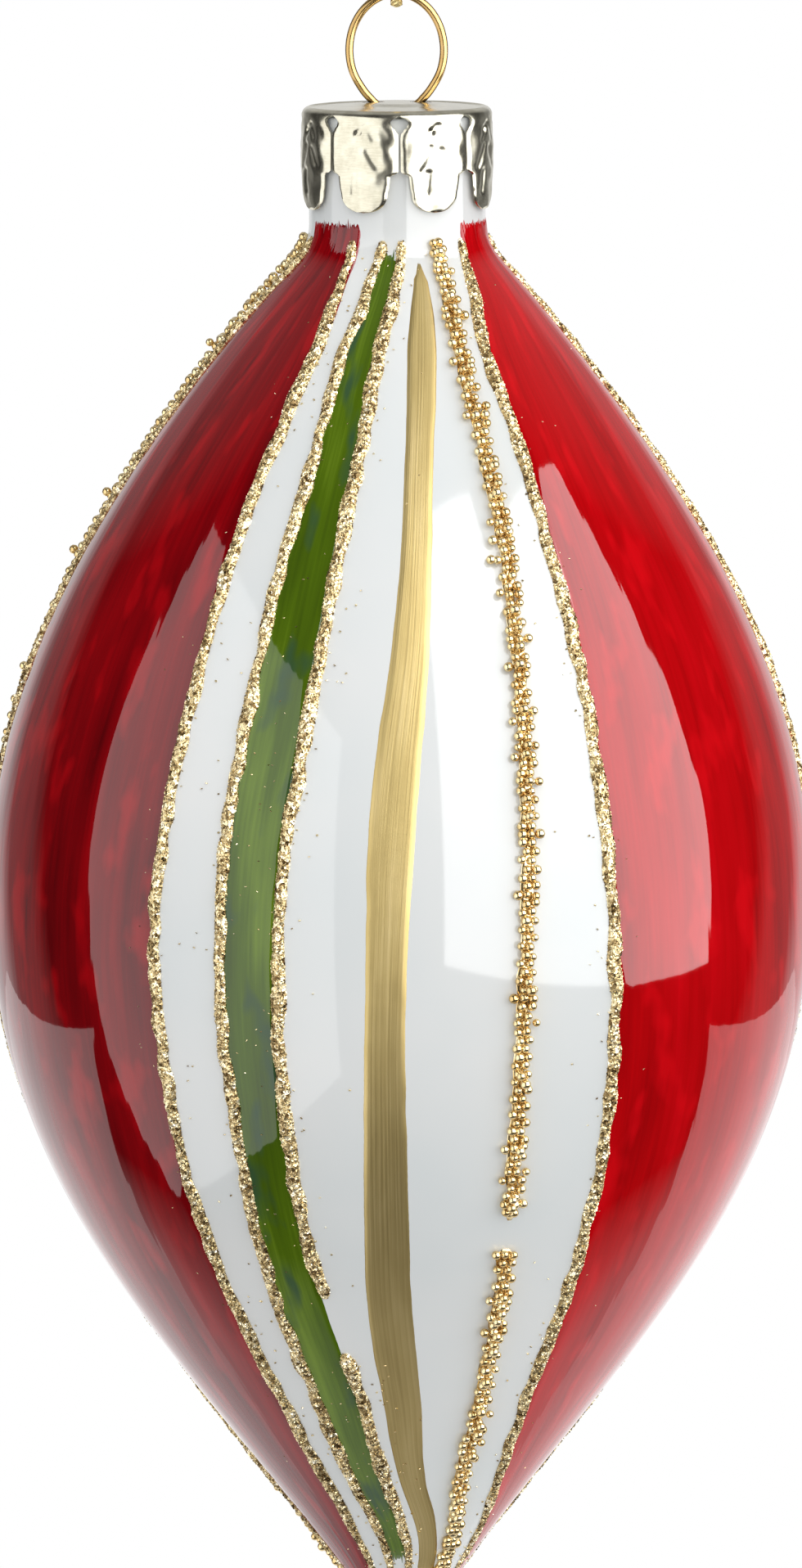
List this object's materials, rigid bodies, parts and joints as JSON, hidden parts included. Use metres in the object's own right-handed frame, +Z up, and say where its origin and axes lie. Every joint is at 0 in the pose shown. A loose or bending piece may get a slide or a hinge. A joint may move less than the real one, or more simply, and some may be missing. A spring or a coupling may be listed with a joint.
{
  "type": "christmas bauble",
  "caption": "Tall drop-shaped blown-glass bauble, opal white with red, green and gold enamel stripes, glitter and bead trails, a crown cap and a wire ring.",
  "frame": {"origin": "inside top of the wire ring, on the axis of the glass, where the bauble hangs", "axes": "+Z up along the axis of the glass, +X to the right with the front of the pattern facing -Y; the wire ring lies in the XZ plane"},
  "size_m": [0.082, 0.0812, 0.2141],
  "materials": {
    "opal_glass": "glossy opal white blown glass",
    "red_enamel": "brushed translucent glossy red enamel",
    "green_enamel": "brushed translucent glossy green enamel",
    "gold_paint": "brushed satin gold paint",
    "gold_glitter": "champagne gold glitter in clear glue",
    "gold_beads": "polished gold-coated beads",
    "cap_metal": "bright champagne stamped sheet",
    "ring_wire": "bright drawn wire",
    "metallic_thread": "twisted metallic gold thread"
  },
  "bodies": {
    "thread": {"thread_loop": "metallic_thread", "thread_knot": "metallic_thread"},
    "hanger": {"hanger_wire": "ring_wire"},
    "cap": {"cap_crown": "cap_metal"},
    "glass": {"glass_body": "opal_glass", "enamel_red_1": "red_enamel", "enamel_red_2": "red_enamel", "enamel_red_3": "red_enamel", "enamel_green_1": "green_enamel", "enamel_green_2": "green_enamel", "enamel_green_3": "green_enamel", "enamel_gold_1": "gold_paint", "enamel_gold_2": "gold_paint", "enamel_gold_3": "gold_paint", "glitter_red_left_1": "gold_glitter", "glitter_red_left_2": "gold_glitter", "glitter_red_left_3": "gold_glitter", "glitter_red_right_1": "gold_glitter", "glitter_red_right_2": "gold_glitter", "glitter_red_right_3": "gold_glitter", "glitter_green_left_1": "gold_glitter", "glitter_green_left_2": "gold_glitter", "glitter_green_left_3": "gold_glitter", "glitter_green_right_1_upper": "gold_glitter", "glitter_green_right_1_lower": "gold_glitter", "glitter_green_right_2": "gold_glitter", "glitter_green_right_3": "gold_glitter", "bead_trail_1_upper": "gold_beads", "bead_trail_1_lower": "gold_beads", "bead_trail_2": "gold_beads", "bead_trail_3": "gold_beads"}
  },
  "joints": [
    {"name": "ring_swing", "type": "hinge", "parent": "thread", "child": "hanger", "pos_m": [0, 0, 0], "axis": [0, 1, 0], "range_deg": [-25, 25]},
    {"name": "cap_rock", "type": "hinge", "parent": "hanger", "child": "cap", "pos_m": [0, 0, -0.0101], "axis": [1, 0, 0], "range_deg": [-10, 10]},
    {"name": "cap_pull", "type": "slide", "parent": "cap", "child": "glass", "axis": [0, 0, -1], "range_m": [0, 0.032]}
  ]
}
